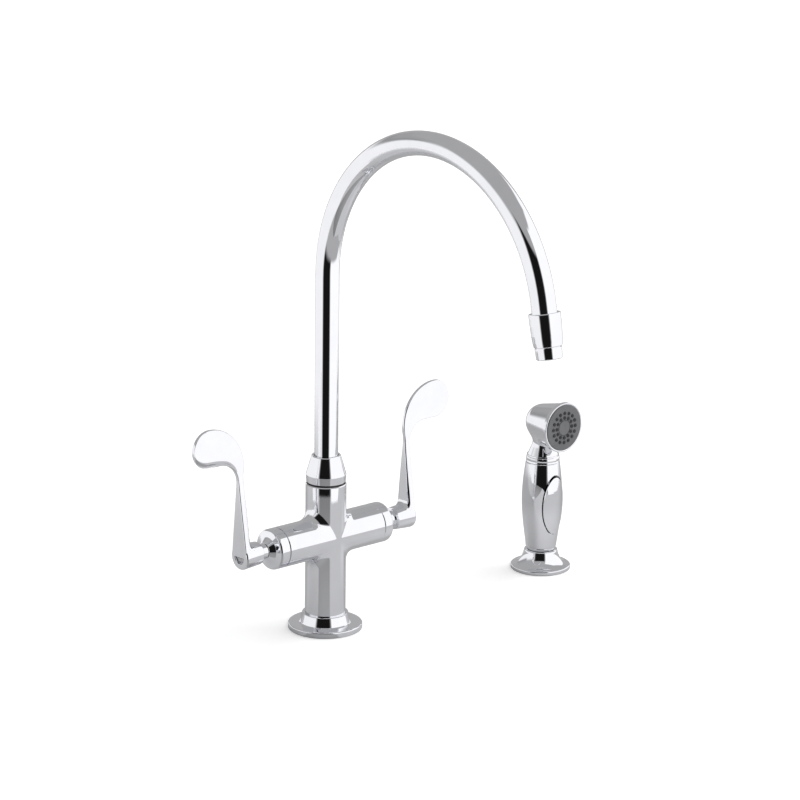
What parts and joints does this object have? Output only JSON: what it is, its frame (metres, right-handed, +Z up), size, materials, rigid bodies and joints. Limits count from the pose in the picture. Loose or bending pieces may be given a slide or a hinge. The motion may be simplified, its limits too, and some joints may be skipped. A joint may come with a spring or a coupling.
{
  "type": "kitchen faucet",
  "caption": "Deck-mounted kitchen faucet with a swivelling gooseneck spout, wrist-blade levers and a separate side sprayer that lifts from its holder",
  "frame": {"origin": "where the body axis meets the deck surface, under the base flange", "axes": "+X toward the sprayer and the cold lever, the spout points along -Y at rest, +Z up"},
  "size_m": [0.3646, 0.2672, 0.4557],
  "materials": {
    "chrome": "polished chrome plate",
    "brass": "machined",
    "steel": "satin",
    "rubber": "matte",
    "plastic": "moulded",
    "spray_disc": "moulded"
  },
  "bodies": {
    "base": {"faucet_body": "chrome", "base_flange": "chrome", "base_gasket": "rubber", "mounting_shank": "brass", "deck_washer": "rubber", "clamp_washer": "steel", "mounting_nut": "brass", "hot_inlet_tail": "brass", "cold_inlet_tail": "brass", "spray_outlet_tail": "brass", "hot_bonnet": "chrome", "cold_bonnet": "chrome", "hot_cartridge": "brass", "cold_cartridge": "brass", "spout_collar": "chrome", "thrust_washer": "plastic", "holder_flange": "chrome", "holder_gasket": "rubber", "holder_shank": "brass", "holder_washer": "steel", "holder_nut": "brass"},
    "spout": {"spout_tube": "chrome", "outlet_ferrule": "chrome", "spout_spigot": "brass", "spout_o_rings": "rubber", "aerator_housing": "chrome", "aerator_insert": "chrome", "aerator_washer": "rubber"},
    "hot_handle": {"hot_lever": "chrome", "hot_stem": "brass", "hot_lever_screw": "steel"},
    "cold_handle": {"cold_lever": "chrome", "cold_stem": "brass", "cold_lever_screw": "steel"},
    "holder_guide": {"holder_bush": "plastic"},
    "sprayer": {"spray_grip": "chrome", "spray_guide": "plastic", "spray_bead": "chrome", "spray_head": "chrome", "spray_bezel": "chrome", "spray_face": "spray_disc", "trigger_pin": "steel"},
    "trigger": {"trigger": "chrome"},
    "plunger": {"valve_plunger": "steel"}
  },
  "joints": [
    {"name": "spout_swivel", "type": "hinge", "parent": "base", "child": "spout", "pos_m": [0, 0, 0.1], "axis": [0, 0, 1], "continuous": true},
    {"name": "hot_lever_turn", "type": "hinge", "parent": "base", "child": "hot_handle", "pos_m": [-0.06, 0, 0.071], "axis": [1, 0, 0], "range_deg": [0, 90]},
    {"name": "cold_lever_turn", "type": "hinge", "parent": "base", "child": "cold_handle", "pos_m": [0.06, 0, 0.071], "axis": [1, 0, 0], "range_deg": [0, 90]},
    {"name": "sprayer_turn", "type": "hinge", "parent": "base", "child": "holder_guide", "pos_m": [0.22, 0, 0.01], "axis": [0, 0, 1], "continuous": true},
    {"name": "sprayer_lift", "type": "slide", "parent": "holder_guide", "child": "sprayer", "axis": [0, 0, 1], "range_m": [0, 0.07]},
    {"name": "trigger_pull", "type": "hinge", "parent": "sprayer", "child": "trigger", "pos_m": [0.22, -0.0099, 0.03505], "axis": [-1, 0, 0], "range_deg": [0, 5], "stiffness_Nm_per_rad": 0.6, "springref_deg": -5.73},
    {"name": "plunger_slide", "type": "slide", "parent": "sprayer", "child": "plunger", "axis": [0, 1, 0], "range_m": [0, 0.0028]}
  ],
  "couplings": [
    {"joint": "plunger_slide", "follows": "trigger_pull", "m_per_rad": 0.02746}
  ]
}
